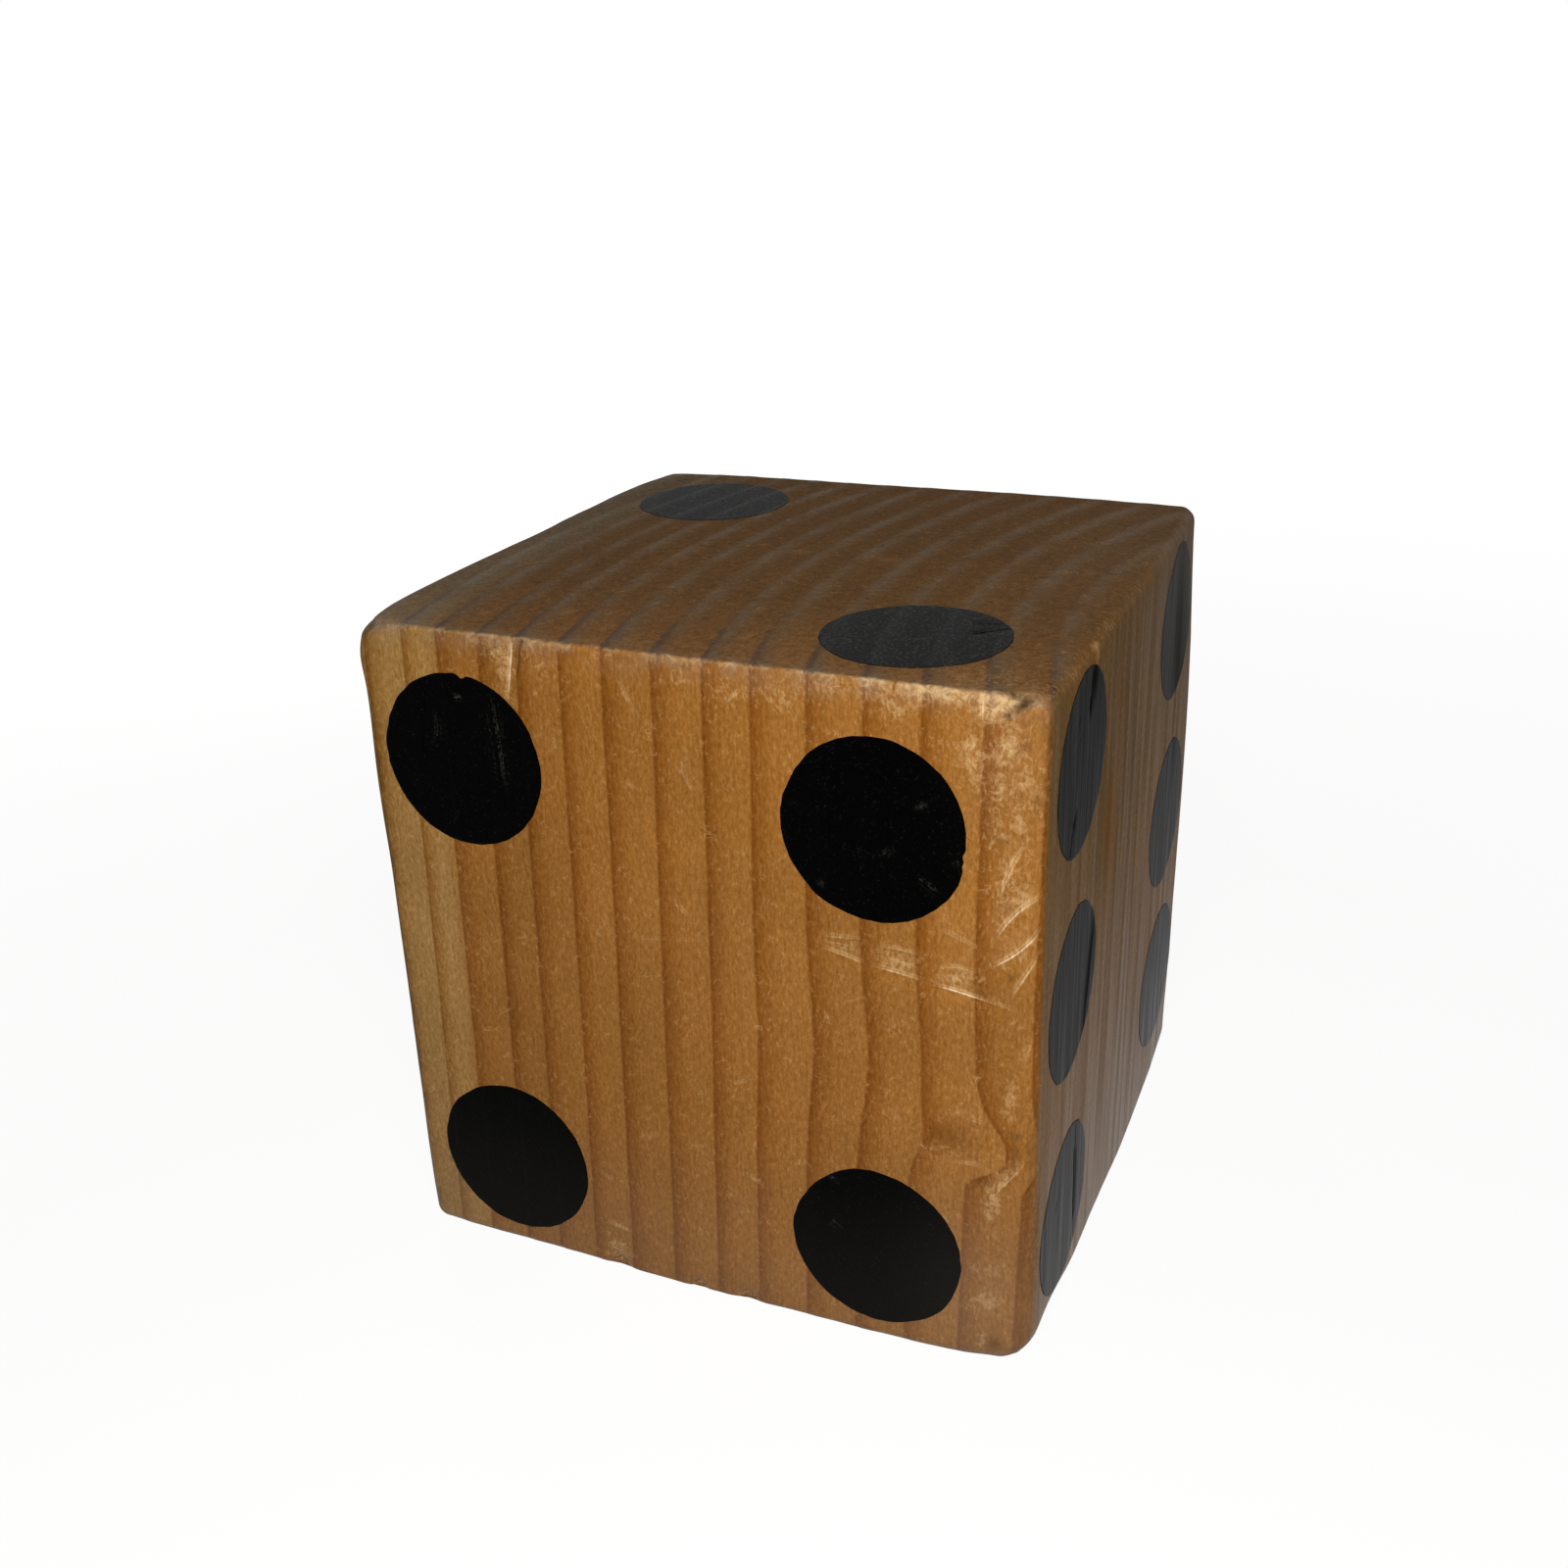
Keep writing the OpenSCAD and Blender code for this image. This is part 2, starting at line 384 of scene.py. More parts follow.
@dataclass(frozen=True)
class VarnishedSoftwood:
    """Redwood pine under thin, worn varnish: honey brown earlywood that darkens into each ring line.

    The eye gets upright stripes on the sides, each with a sharp dark line where a year's growth ends,
    and on the end grain dull brown bands between harder, greyer ones that shine at a flat angle. A suede
    of fine flecks lies over both, and knocks show as pale torn fibres. Sizes of patterns are in
    millimetres, across the grain and along it where there are two.
    """

    name: str = "varnished_softwood"
    long_grain: Stops = (
        (0.0, "#774413"), (0.04, "#7e4b18"), (0.09, "#84511c"), (0.16, "#895621"), (0.24, "#8d5a24"),
        (0.33, "#915f28"), (0.45, "#96632b"), (0.7, "#97652d"), (0.95, "#98662e"), (1.0, "#7b4816"),
    )
    by_height: Stops = (  # darker low down, which is painted shade, with what handling has done to it; richest at the top
        (0.0, (0.92, 0.91, 0.93, 1.0)), (0.35, (0.975, 0.97, 1.04, 1.0)),
        (0.55, (0.98, 0.98, 1.08, 1.0)), (0.8, (0.96, 0.945, 0.92, 1.0)),
    )
    hardness: Stops = (
        (0.0, 0.3), (0.1, 0.85), (0.2, 1.0), (0.3, 0.75), (0.42, 0.3), (0.55, 0.0), (0.92, 0.0), (1.0, 0.25),
    )
    ring_line: Stops = (
        (0.0, 0.9), (0.06, 1.0), (0.13, 0.5), (0.2, 0.15), (0.35, 0.0), (0.94, 0.0), (1.0, 0.8),
    )
    quiet: Stops = (  # flat sawn wood, whose rings run together, by height; lighter low down, which is painted light
        (0.0, "#77562c"), (0.35, "#75542c"), (0.7, "#6b512d"), (1.0, "#6a522f"),
    )
    quiet_share: float = 0.85
    sapwood: Triple = (0.2, 0.56, 1.3)  # how much paler each channel is at the bark side
    sap_rings: Pair = (3.15, 2.6)  # ring numbers at which it starts and is full
    early_end: str = "#714f2a"
    early_edge_lit: str = "#8a6035"  # the same near the front edge, painted lighter there to stand for light
    late_end: str = "#6a5032"
    late_edge: str = "#523a2a"
    amber: str = "#a0682f"
    bruise: str = "#d8b07a"
    painted_glint: str = "#f6dcbc"  # painted highlight on the lip of a deep scrape
    dirt: str = "#2a1a0e"
    # Grey of the haze: dust, and where the faces look grey from their sheen, a painted sheen
    grey_dust_and_sheen: str = "#9a8b7a"
    waver: float = 0.04  # of a ring's width
    waver_size: Pair = (2.2, 30.0)
    fibre: Pair = (0.3, 6.0)
    fleck: Pair = (0.4, 0.9)
    fleck_tint: Triple = (0.28, 0.36, 0.6)
    streak: Pair = (1.8, 45.0)
    patch: float = 6.0  # of the hard bands of the end grain
    pore: float = 1.1
    cloudy: float = 14.0
    scratch_gap: float = 3.0
    scratch_patch: float = 2.2
    hair: float = 0.4
    hair_bend: float = 1.6
    curl: float = 1.4
    rough_low: float = 0.385
    rough_high: float = 0.78
    specular: float = 0.1

    def material(self) -> Material:
        """Build the wood from the ring number, the wear on each vertex and fine noise.

        Returns:
            The material.
        """
        material, net = new_material(self.name)
        place, axis = net.place()
        marks = net.marks()
        height = net.between(axis["Z"], 0.0, HEIGHT * MM)

        # Ring lines waver a little up the grain
        waver = net.noise(place, self.waver_size)
        ring = net.maths("MULTIPLY_ADD", waver, self.waver, marks["ring"])
        phase = net.maths("FRACT", ring)
        hard = net.ramp(phase, self.hardness)

        # Long grain: the ring's own course, quieter where it is flat sawn
        along = net.vector("MULTIPLY", net.ramp(phase, self.long_grain), net.ramp(height, self.by_height))
        flat = net.product(marks["flat"], self.quiet_share)
        along = net.mix(flat, along, net.ramp(height, self.quiet))

        # End grain: hard bands come and go along their length, ring lines are dark near the front edge, and
        # the earlywood there is painted lighter, as light
        band = net.product(hard, net.between(net.noise(place, self.patch), 0.35, 0.62, 0.35))
        edge = net.between(axis["Y"], -20 * MM, -40 * MM)
        early = net.mix(edge, linear(self.early_end), linear(self.early_edge_lit))
        across = net.mix(band, early, linear(self.late_end))
        thin = net.product(net.ramp(phase, self.ring_line), edge)
        across = net.mix(thin, across, linear(self.late_edge))
        across = net.shaded(across, net.noise(place, self.pore, 3.0, 0.6), *WIDE, 0.28)
        # The back half of the end grain is painted darker, as shade
        across = net.scaled(across, net.between(axis["Y"], 0.0, 40 * MM, 1.0, 0.9))

        # Pale sapwood at the bark side; each year, soft clouds and fibres up the grain have their own shade
        sap = net.between(marks["ring"], *self.sap_rings)
        sap = net.vector("MULTIPLY_ADD", sap, self.sapwood, (1, 1, 1))
        colour = net.vector("MULTIPLY", net.mix(marks["end"], along, across), sap)
        # Painted light and shade: darker to the left, lighter to the right
        colour = net.shaded(colour, axis["X"], -30 * MM, 25 * MM, 0.045)
        year = net.add("TexWhiteNoise", {"W": net.maths("FLOOR", ring)}, noise_dimensions="1D")
        colour = net.shaded(colour, year.outputs["Value"], 0.0, 1.0, 0.05)
        colour = net.shaded(colour, net.noise(place, self.cloudy), *WIDE, 0.08)
        colour = net.shaded(colour, net.noise(place, self.fibre, 3.0, 0.6), *WIDE, 0.1)

        # Streaks up the flat sawn sides
        streak = net.noise(place, self.streak, 3.0)
        shade = net.between(streak, *NARROW, 0.12, -0.12)
        colour = net.scaled(colour, net.maths("MULTIPLY_ADD", shade, marks["flat"], 1.0))

        # Flecks like suede: the pale ones are greyer and the dark ones redder
        fleck = net.noise(place, self.fleck, 4.0, 0.7)
        spread = net.between(fleck, *WIDE, -1.0)
        tint = net.vector("MULTIPLY_ADD", spread, self.fleck_tint, (1, 1, 1))
        colour = net.vector("MULTIPLY", colour, tint)

        # Fine curved scratches: thin bands round one level of a noise, where a second noise lets them
        level = net.maths("COMPARE", net.noise(place, self.scratch_gap, 1.0, bent=1.2), 0.5, 0.01)
        where = net.between(net.noise(place, self.scratch_patch), 0.53, 0.63, 0.0, 0.22)
        scratch = net.product(level, where)

        # Scrapes: hairs run along them, cut off at a crisp lip, drawn pale as torn fibres and as a painted
        # highlight, with a painted glint on deep ones
        bend = net.noise(place, self.hair_bend, 1.0)
        hair = net.hairs(net.maths("MULTIPLY_ADD", bend, 0.4, marks["comb"]), self.hair, 0.6)
        # The band just above the lip, drawn pale and glinting, is a painted highlight
        gleam = net.maths("COMPARE", marks["comb"], 0.1, 0.1)
        hair = net.maths("MAXIMUM", net.between(hair, 0.45, 0.6, 0.2), gleam)
        lip = net.between(marks["comb"], -0.1, 0.05)
        frayed = net.between(fleck, 0.4, 0.58, 0.4)
        soft = net.between(hard, first=1.0, last=0.15)
        torn = net.product(marks["scrape"], lip, hair, frayed, soft)
        painted_glint = net.product(net.between(marks["scrape"], 0.62), gleam, lip, frayed, soft)

        # Rubs are ragged: curls and flecks eat into them; hard rings resist only the scrapes
        curl = net.noise(place, self.curl, 3.0, 0.6, 2.0)
        rub = net.maths("MULTIPLY_ADD", net.between(curl, *NARROW, -1.0), 0.2, marks["scuff"])
        rub = net.between(net.maths("MULTIPLY_ADD", spread, 0.16, rub), 0.14)
        rub = net.product(rub, net.between(curl, 0.4, 0.58, 0.45))
        for share in (scratch, rub):
            torn = net.maths("ADD", torn, share, clamp=True)

        # Dirt lies in pits of the end grain and in thin splits
        pit = net.between(bend, 0.7, 0.76, 0.0, 0.5)
        pit = net.maths("MULTIPLY_ADD", pit, marks["end"], marks["stain"])
        line = net.product(net.maths("COMPARE", marks["comb"], 0.0, 0.13), marks["crack"])
        layers = ((marks["amber"], self.amber), (torn, self.bruise), (painted_glint, self.painted_glint),
                  (marks["dust"], self.grey_dust_and_sheen), (pit, self.dirt), (line, self.dirt))
        for share, tone in layers:
            colour = net.mix(share, colour, linear(tone))

        # The sides are glossier low down, hard rings are smoother on the ends, and torn wood is dull
        side = net.between(axis["Z"], 0.0, HEIGHT * MM, self.rough_low, self.rough_high)
        side = net.maths("ADD", side, net.between(streak, *NARROW, -0.08, 0.08))
        dull = net.blend(marks["end"], side, net.between(band, first=0.8, last=0.62))
        dulled = net.maths("ADD", torn, marks["amber"])
        dull = net.maths("MULTIPLY_ADD", dulled, 0.3, dull, clamp=True)
        rough = net.maths("MULTIPLY_ADD", torn, hair, fleck)
        net.surface(colour, dull, self.specular, {"Height": rough, "Strength": 0.35, "Distance": 0.08 * MM})
        return material


@dataclass(frozen=True)
class BlackPaint:
    """Matte black paint, brushed on: soaked into the grain, a little dusty, with fine scuffs and splits."""

    name: str = "black_paint"
    coat: str = "#010101"
    # Grey of the dust, which on the end grain also stands for the paint's sheen, as a painted sheen
    dust: str = "#5a5750"
    fleck: float = 0.34
    streak: Pair = (0.8, 25.0)
    hair: float = 0.3
    rough_low: float = 0.3
    rough_high: float = 0.55
    specular: float = 0.014

    def material(self) -> Material:
        """Build the paint: black, with dusty flecks, scuffs and splits from the vertices, and a low sheen.

        Returns:
            The material.
        """
        material, net = new_material(self.name)
        place, axis = net.place()
        marks = net.marks()
        end = marks["end"]

        # Dust lies on flecks, more of it on the end grain, where its grey is also a painted sheen, and
        # scuffs and scrapes are broken up by them
        fleck = net.noise(place, self.fleck, 3.0, 0.65)
        lying, start, crest = (net.between(end, first=on_side, last=on_end) for on_side, on_end in (
            (0.12, 0.6), (0.6, 0.53), (0.78, 0.68)))
        torn = net.between(fleck, 0.45, 0.65)
        dust = net.maths("MULTIPLY_ADD", marks["scuff"], torn, net.between(fleck, start, crest, 0.0, lying))
        hair = net.product(net.between(net.hairs(marks["comb"], self.hair), 0.45, 0.6), torn)
        dust = net.maths("MULTIPLY_ADD", marks["scrape"], hair, dust)
        dust = net.maths("ADD", dust, marks["dust"], clamp=True)
        colour = net.mix(dust, linear(self.coat), linear(self.dust))

        # The sides are glossier low down, and splits and stains are dull
        line = net.product(net.maths("COMPARE", marks["comb"], 0.0, 0.2), marks["crack"])
        side = net.between(axis["Z"], 0.0, HEIGHT * MM, self.rough_low, self.rough_high)
        side = net.maths("ADD", side, net.between(net.noise(place, self.streak), *NARROW, -0.06, 0.06))
        phase = net.maths("FRACT", marks["ring"])
        dull = net.blend(end, side, net.between(phase, 0.1, 0.5, 0.41, 0.45))
        dull = net.maths("MULTIPLY_ADD", line, 0.6, dull)
        dull = net.maths("MULTIPLY_ADD", marks["stain"], 0.35, dull, clamp=True)
        grain = net.product(fleck, net.between(end, first=1.0, last=3.5))
        net.surface(colour, dull, self.specular, {"Height": grain, "Strength": 0.3, "Distance": 0.06 * MM})
        return material


@dataclass
class Skin:
    """Places on the worn surface, in millimetres, with their directions and the values the finishes read."""

    points: Array
    normals: Array
    masks: dict[str, Array]


def make_piece(name: str, points: Array, quads: Array, masks: dict[str, Array],
               material: Material) -> None:
    """Put whole arrays into a smooth mesh that stands for the CAD node of the same name.

    Args:
        name: the piece, and the node that it replaces, whose name it takes with _skin added.
        points: vertex places in millimetres.
        quads: four vertex numbers a row, anticlockwise from outside; a triangle repeats its last number.
        masks: values for each vertex, by attribute name.
        material: the finish.
    """
    mesh = bpy.data.meshes.new(name + "_skin")
    real = np.ones(quads.shape, bool)
    real[:, 3] = quads[:, 3] != quads[:, 2]
    sizes = real.sum(1)
    corners = quads[real]
    mesh.vertices.add(len(points))
    mesh.vertices.foreach_set("co", (points * MM).astype(np.float32).ravel())
    mesh.loops.add(len(corners))
    mesh.loops.foreach_set("vertex_index", corners.astype(np.int32))
    mesh.polygons.add(len(quads))
    mesh.polygons.foreach_set("loop_start", (np.cumsum(sizes) - sizes).astype(np.int32))
    mesh.polygons.foreach_set("use_smooth", np.ones(len(quads), bool))
    mesh.update(calc_edges=True)
    for key, values in masks.items():
        layer = mesh.attributes.new(key, "FLOAT", "POINT")
        layer.data.foreach_set("value", values.astype(np.float32))
    mesh.materials.append(material)
    piece = bpy.data.objects.new(name + "_skin", mesh)
    bpy.context.scene.collection.objects.link(piece)
    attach(piece, "root")
    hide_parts(name)
    log.info("%s: %d faces", name, len(quads))


@dataclass(frozen=True)
class Spot:
    """Where a pip lies: its face, its middle on that face from the face's own middle, and its radius."""

    name: str
    face: Face
    across: float
    up: float
    radius: float


def find_spot(name: str, middle: Array) -> Spot:
    """Read a pip's place from its CAD node: its face is the one on its thin axis, on its side of the block.

    Args:
        name: the node.
        middle: the middle of the block in millimetres.

    Returns:
        The spot.
    """
    low, high = (np.array(corner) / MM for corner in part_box(name))
    thin = int(np.argmin(high - low))
    centre = (low + high) / 2 - middle
    face = next(f for f in Face if f.outward[thin] * centre[thin] > 0)
    across, up, _ = face.axes @ centre
    return Spot(name, face, across, up, float(np.max(high - low)) / 2)


@dataclass(frozen=True)
class Worn:
    """A corner or a stretch of edge that is rounder or crisper than the rest.

    The place is a share of the half sizes from the middle of the block. The reach along each axis and
    the radius are in millimetres.
    """

    place: Triple
    reach: Triple
    radius: float


@dataclass
class Block:
    """The block: a box with eased edges and worn corners, its rings slightly proud and its faces knocked."""

    spots: list[Spot]
    rings: GrowthRings
    marks: list[Mark]
    low: Array
    high: Array
    edge_radii: dict[tuple[Face, Face], float] = field(default_factory=lambda: {
        (Face.FRONT, Face.TOP): 0.5, (Face.FRONT, Face.BASE): 1.75,
        (Face.FRONT, Face.LEFT): 2.0, (Face.FRONT, Face.RIGHT): 1.75,
        (Face.TOP, Face.LEFT): 1.75, (Face.TOP, Face.RIGHT): 2.0, (Face.TOP, Face.BACK): 2.0,
        (Face.RIGHT, Face.BACK): 2.5, (Face.RIGHT, Face.BASE): 2.5,
        (Face.LEFT, Face.BACK): 2.0, (Face.LEFT, Face.BASE): 2.0, (Face.BACK, Face.BASE): 2.0,
    })
    worn: tuple[Worn, ...] = (
        Worn((1, -1, 1), (5, 5, 5), 2.6),
        Worn((-1, 1, 1), (9, 9, 9), 4.6),
        Worn((1, 1, -1), (8, 8, 11), 4.5),
        Worn((-1, 1, -1), (8, 8, 8), 4.5),
        Worn((-1, -1, -1), (5, 5, 5), 2.3),
        # Stretches of edge
        Worn((-1, -1, 0.5), (4, 4, 11), 1.3),
        Worn((-1, -1, 0.08), (4, 4, 10), 1.85),
        Worn((-1, -1, -0.7), (4, 4, 9), 1.7),
        Worn((1, -1, 0.5), (4, 4, 18), 1.0),
        Worn((1, -1, -0.72), (6, 6, 14), 4.6),
        Worn((-1, -0.5, 1), (4, 16, 4), 1.2),
        Worn((0.35, 1, 1), (18, 4, 4), 1.2),
        Worn((1, 1, 0.12), (4, 4, 22), 1.1),
        Worn((1, 0.3, -1), (4, 18, 4), 0.6),
        Worn((-0.1, -1, -1), (13, 4, 4), 0.9),
        Worn((0.7, -1, -1), (8, 4, 4), 2.1),
        # Corners that end such stretches
        Worn((1, 1, 1), (5, 5, 10), 2.25),
        Worn((1, -1, -1), (8, 8, 10), 3.9),
        Worn((1, -0.8, -1), (7, 9, 9), 5.6),
        Worn((-1, -1, 1), (5, 5, 5), 4.0),
        Worn((-1, -1, 0.88), (5, 5, 3.5), 1.1),
    )
    edge_reach: float = 4.0  # how far an edge's own radius is felt
    wobble: tuple[tuple[float, float, int], ...] = ((0.08, 9, 1), (0.05, 2.5, 2))  # share, size and seed
    least_radius: float = 0.3
    most_radius: float = 7.0
    far_lean: float = 0.8  # how far the right side leans in at its far top corner
    lean_reach: Triple = (14, 14, 16)
    inside_cad: float = 0.045  # the wood lies this far inside the CAD faces
    wave: float = 0.025  # how far the faces swing about their set-back
    wave_size: float = 28.0
    ring_relief: float = 0.04  # how far wear has sunk the soft earlywood
    seat_sink: float = 0.3  # how far the hidden wood under a pip drops away
    cells: tuple[int, int, int] = (168, 62, 168)
    # Where the lattice is closer: place from the middle, reach and how much closer, for each axis
    busy: tuple[tuple[Triple, ...], ...] = (
        ((-43.25, 3, 3.5), (43.25, 3, 3.5), (-21, 2, 1.5), (39, 5, 0.8)),
        ((-41.75, 3, 3.5), (41.75, 3, 3.5)),
        ((-44.5, 3, 3.5), (44.5, 3, 3.5), (40, 5, 0.5), (11, 6, 0.6), (-13, 5, 0.6)),
    )

    @property
    def middle(self) -> Array:
        """The middle of the block."""
        return (self.low + self.high) / 2

    @property
    def half(self) -> Array:
        """Half of each size."""
        return (self.high - self.low) / 2

    def gap(self, face: Face, places: Array) -> Array:
        """How far places, taken from the middle, lie inside a face."""
        return float(np.abs(face.outward) @ self.half) - places @ face.outward

    def radius_at(self, places: Array) -> Array:
        """Round-over radius near each place.

        The twelve edge radii are averaged with the weight exp(-(distance / reach)^2), wear wobbles the
        result, and near each worn place it blends into that place's own radius along a bell curve.

        Args:
            places: places on the box, from its middle.

        Returns:
            Radii in millimetres.
        """
        total = np.zeros(len(places))
        weight = np.full(len(places), 1e-9)
        for (one, other), radius in self.edge_radii.items():
            away = np.hypot(self.gap(one, places), self.gap(other, places))
            near = np.exp(-(away / self.edge_reach) ** 2)
            total += near * radius
            weight += near
        radius = (total + 1e-9) / weight
        radius *= 1 + sum(share * cloud(places, size, seed) for share, size, seed in self.wobble)
        for worn in self.worn:
            away = (places - worn.place * self.half) / worn.reach
            radius += (worn.radius - radius) * np.exp(-np.sum(away ** 2, axis=1))
        return np.clip(radius, self.least_radius, self.most_radius)

    def lay(self, places: Array) -> Skin:
        """Carry places on the plain box to the worn surface.

        A place is split into the nearest point of the box shrunk by the round-over radius and the rest,
        and the rest is given the radius as its length, which rounds edges and corners. The far top
        corner leans to the left along a bell curve. The result then goes inwards by the set-back, a
        broad waviness, the sunk earlywood and every mark.

        Args:
            places: places on the box, from its middle.

        Returns:
            The surface there.
        """
        radius = self.radius_at(places)[:, None]
        inner = np.clip(places, radius - self.half, self.half - radius)
        normals = places - inner
        normals /= np.linalg.norm(normals, axis=1, keepdims=True)
        points = inner + radius * normals + self.middle
        away = (self.half - places) / self.lean_reach
        points[:, 0] -= self.far_lean * np.exp(-np.sum(away ** 2, axis=1))
        ring = self.rings.count(points)
        masks = {"ring": ring, "end": ease(0.35, 0.8, np.abs(normals[:, 2])),
                 "flat": self.rings.flat_sawn(points, normals), "comb": np.full(len(places), 0.5)}
        masks.update(self.edge_wear(places, points))

        drop = self.inside_cad + self.wave * (1 + cloud(points, self.wave_size, 3))
        drop += self.ring_relief * (1 - self.rings.latewood(ring))
        most = np.full(len(places), 0.02)
        for face in Face:
            right, up, outward = face.axes
            facing = ease(0.3, 0.75, normals @ outward)
            own = np.flatnonzero(facing)
            for mark in (m for m in self.marks if m.face is face and len(own)):
                felt, above = mark.strength(places[own] @ right, places[own] @ up)
                felt = felt * facing[own]
                drop[own] += mark.depth * felt
                masks[mark.kind.value][own] += mark.amount * felt
                if mark.kind in COMBED:
                    ahead = felt > most[own]
                    masks["comb"][own[ahead]] = above[ahead]
                    most[own[ahead]] = felt[ahead]
        for kind in Kind:
            masks[kind.value] = np.clip(masks[kind.value], 0, 1)
        return Skin(points - drop[:, None] * normals, normals, masks)

    def edge_wear(self, places: Array, points: Array) -> dict[str, Array]:
        """What handling has done along the edges and low down.

        Edges that face the player are rubbed pale and the others are stained, each fading as a bell curve;
        the stains on the front's side edges are partly painted shade, and the pale rub along its top edge
        partly a painted highlight. Below the front's top edge crushed fibres show in patches, under a thin
        pale band that is partly a painted highlight, and dust, partly a painted sheen, lies near the base.

        Args:
            places: places on the box, from its middle.
            points: the same places on the rounded block.

        Returns:
            A share for each kind of mark at each place.
        """
        ragged = np.maximum(1 + 0.9 * cloud(points, 2.6, 5) + 0.8 * cloud(points, 0.9, 6), 0)
        edges = (
            # Along the front's right edge the stain is painted shade where the rounding turns from the
            # light, and along its left edge partly so; the thin pale rub along the front's top edge is
            # partly a painted highlight, and the grey along the top's left edge partly a painted sheen
            (Kind.STAIN_AND_SHADE, Face.FRONT, Face.RIGHT, 0.15, 0.9), (Kind.SCUFF_AND_HIGHLIGHT, Face.TOP, Face.RIGHT, 0.05, 0.9),
            (Kind.SCUFF_AND_HIGHLIGHT, Face.FRONT, Face.TOP, 0.25, 0.6), (Kind.DUST_AND_SHEEN, Face.FRONT, Face.TOP, 0.16, 2.2),
            (Kind.SCUFF_AND_HIGHLIGHT, Face.FRONT, Face.BASE, 0.12, 1.0), (Kind.STAIN_AND_SHADE, Face.FRONT, Face.LEFT, 0.4, 1.5),
            (Kind.STAIN_AND_SHADE, Face.LEFT, Face.BACK, 0.2, 1.2), (Kind.DUST_AND_SHEEN, Face.TOP, Face.LEFT, 0.12, 3.0),
        )
        masks = {kind.value: np.zeros(len(places)) for kind in Kind}
        for kind, one, other, amount, reach in edges:
            away = np.hypot(self.gap(one, places), self.gap(other, places))
            masks[kind.value] += amount * ragged * np.exp(-(away / reach) ** 2)
        on_front = np.exp(-(self.gap(Face.FRONT, places) / 0.6) ** 2)
        below = self.gap(Face.TOP, places)
        to_right = 0.1 + 0.3 * ease(10, 34, points[:, 0]) * (1 - ease(38.5, 40.5, points[:, 0]))
        patches = ease(-0.1, 0.5, cloud(points, 4.5, 8)) * (0.6 + 0.4 * cloud(points, 1.2, 9))
        # A thin pale band just under the front's top edge: crushed fibres, and partly a painted highlight of
        # the edge
        masks[Kind.SCUFF_AND_HIGHLIGHT.value] += 0.85 * to_right * on_front * ragged * np.exp(-((below - 0.8) / 0.7) ** 2)
        masks[Kind.SCUFF_AND_HIGHLIGHT.value] += 1.8 * to_right * on_front * patches * np.exp(-(below / 5.5) ** 2)
        # Greyer towards the base: dust, and partly a painted sheen
        masks[Kind.DUST_AND_SHEEN.value] += 0.12 * (1 - ease(0, 30, points[:, 2]))
        return masks

    def lines(self, axis: int) -> Array:
        """Lattice lines along an axis, from the middle, closer where there is more to show.

        The wanted closeness is 1 plus a bell curve for each busy place, and its running total is cut
        into equal shares.
        """
        fine = np.linspace(-self.half[axis], self.half[axis], 4001)
        close = np.ones(len(fine))
        for place, reach, more in self.busy[axis]:
            close += more * np.exp(-((fine - place) / reach) ** 2)
        total = np.concatenate([[0], np.cumsum(close[1:] + close[:-1])])
        return np.interp(np.linspace(0, total[-1], self.cells[axis] + 1), total, fine)

    def lattice(self) -> tuple[Array, Array]:
        """The skin of a box of lattice points.

        On each of the six faces the two running numbers make a grid, every lattice point gets one
        number for the whole box, and points shared by faces are then counted once.

        Returns:
            Places from the middle, and quads that look outwards.
        """
        lines = [self.lines(axis) for axis in range(3)]
        counts = [len(line) for line in lines]
        quads = []
        for axis in range(3):
            one, other = (axis + 1) % 3, (axis + 2) % 3
            grid = np.meshgrid(np.arange(counts[one]), np.arange(counts[other]), indexing="ij")
            for end in (0, counts[axis] - 1):
                index = [None] * 3
                index[axis], index[one], index[other] = np.full_like(grid[0], end), grid[0], grid[1]
                key = (index[0] * counts[1] + index[1]) * counts[2] + index[2]
                ring = [key[:-1, :-1], key[1:, :-1], key[1:, 1:], key[:-1, 1:]]
                ring = ring if end else ring[::-1]
                quads.append(np.stack([corner.ravel() for corner in ring], axis=1))
        keys, quads = np.unique(np.concatenate(quads), return_inverse=True)
        i, rest = np.divmod(keys, counts[1] * counts[2])
        j, k = np.divmod(rest, counts[2])
        places = np.stack([lines[0][i], lines[1][j], lines[2][k]], axis=1)
        return places, quads.reshape(-1, 4)

    def build(self, material: Material) -> None:
        """Make the block, with the wood under each pip sunk out of the way.

        Args:
            material: the wood.
        """
        places, quads = self.lattice()
        skin = self.lay(places)
        for spot in self.spots:
            right, up, outward = spot.face.axes
            reach = np.hypot(places @ right - spot.across, places @ up - spot.up)
            under = 1 - ease(spot.radius - 1.8, spot.radius - 1.0, reach)
            under = under * (skin.normals @ outward > 0.9)
            skin.points -= self.seat_sink * under[:, None] * outward
        make_piece("block", skin.points, quads, skin.masks, material)


